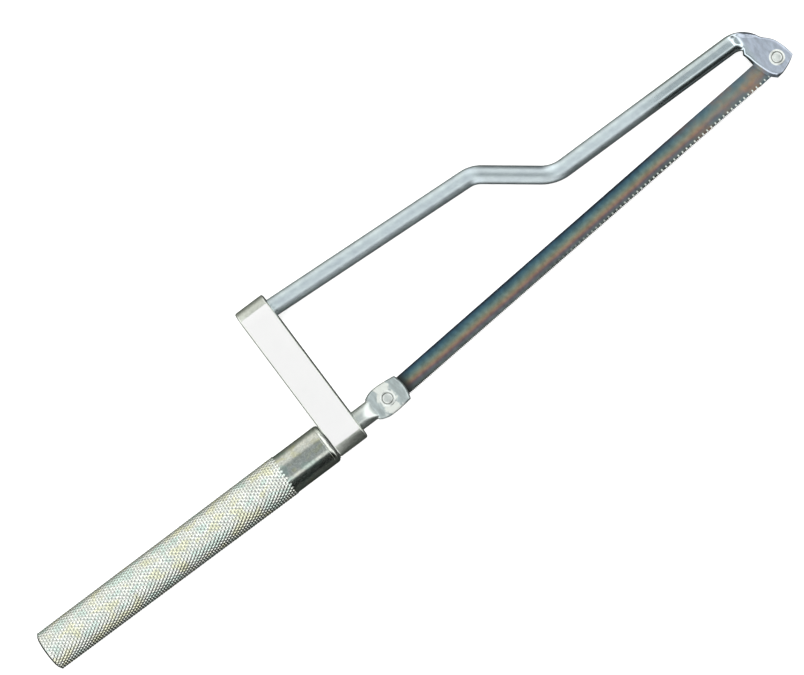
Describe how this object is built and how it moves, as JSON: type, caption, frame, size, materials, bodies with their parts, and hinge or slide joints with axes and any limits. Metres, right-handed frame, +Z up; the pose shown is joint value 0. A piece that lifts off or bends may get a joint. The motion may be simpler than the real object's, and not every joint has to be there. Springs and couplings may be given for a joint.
{
  "type": "hacksaw",
  "caption": "Straight-handled hacksaw: a knurled tube handle tensions the blade by drawing a stud through a crossbar that carries a bent round frame rod.",
  "frame": {"origin": "centre of the whole saw's box, at its lowest level, with the saw lying flat on its side", "axes": "+X along the handle towards the nose, +Y from the handle up to the frame rod, +Z up, out of the saw's plane on the label side"},
  "size_m": [0.5548, 0.1054, 0.0265],
  "materials": {
    "zinc_plate": "zinc-plated bar and drawn rod",
    "forged_plate": "zinc plate over forged steel, matte on the flattened faces",
    "knurled_plate": "bright plate over a diamond knurl, smooth at the neck",
    "bright_plate": "bright plate",
    "tempered_blade": "blade steel with blue, straw and brown heat colours",
    "plain_steel": "plain oiled steel",
    "white_vinyl": "satin white label, blank"
  },
  "bodies": {
    "frame": {"crossbar": "zinc_plate", "crossbar_label": "white_vinyl", "frame_rod": "zinc_plate", "frame_rod_pin": "plain_steel", "stud_key_pin": "plain_steel", "front_blade_pin": "forged_plate"},
    "stud": {"tension_stud": "forged_plate", "rear_blade_pin": "forged_plate", "stud_stop_nut": "plain_steel"},
    "blade": {"blade": "tempered_blade"},
    "washer": {"thrust_washer": "plain_steel"},
    "grip": {"grip_tube": "knurled_plate", "grip_nut": "bright_plate", "grip_end_plug": "bright_plate"}
  },
  "joints": [
    {"name": "grip_backoff", "type": "slide", "parent": "frame", "child": "washer", "axis": [-1, 0, 0], "range_m": [0, 0.01023]},
    {"name": "grip_turn", "type": "hinge", "parent": "washer", "child": "grip", "pos_m": [-0.15, -0.03943, 0.01325], "axis": [-1, 0, 0], "range_deg": [0, 2160]},
    {"name": "stud_advance", "type": "slide", "parent": "frame", "child": "stud", "axis": [1, 0, 0], "range_m": [0, 0.00066]},
    {"name": "blade_lift", "type": "slide", "parent": "frame", "child": "blade", "axis": [0, 0, -1], "range_m": [0, 0.005]}
  ],
  "couplings": [
    {"joint": "grip_turn", "follows": "grip_backoff", "rad_per_m": 3683},
    {"joint": "stud_advance", "follows": "grip_backoff", "ratio": 0.0635}
  ]
}
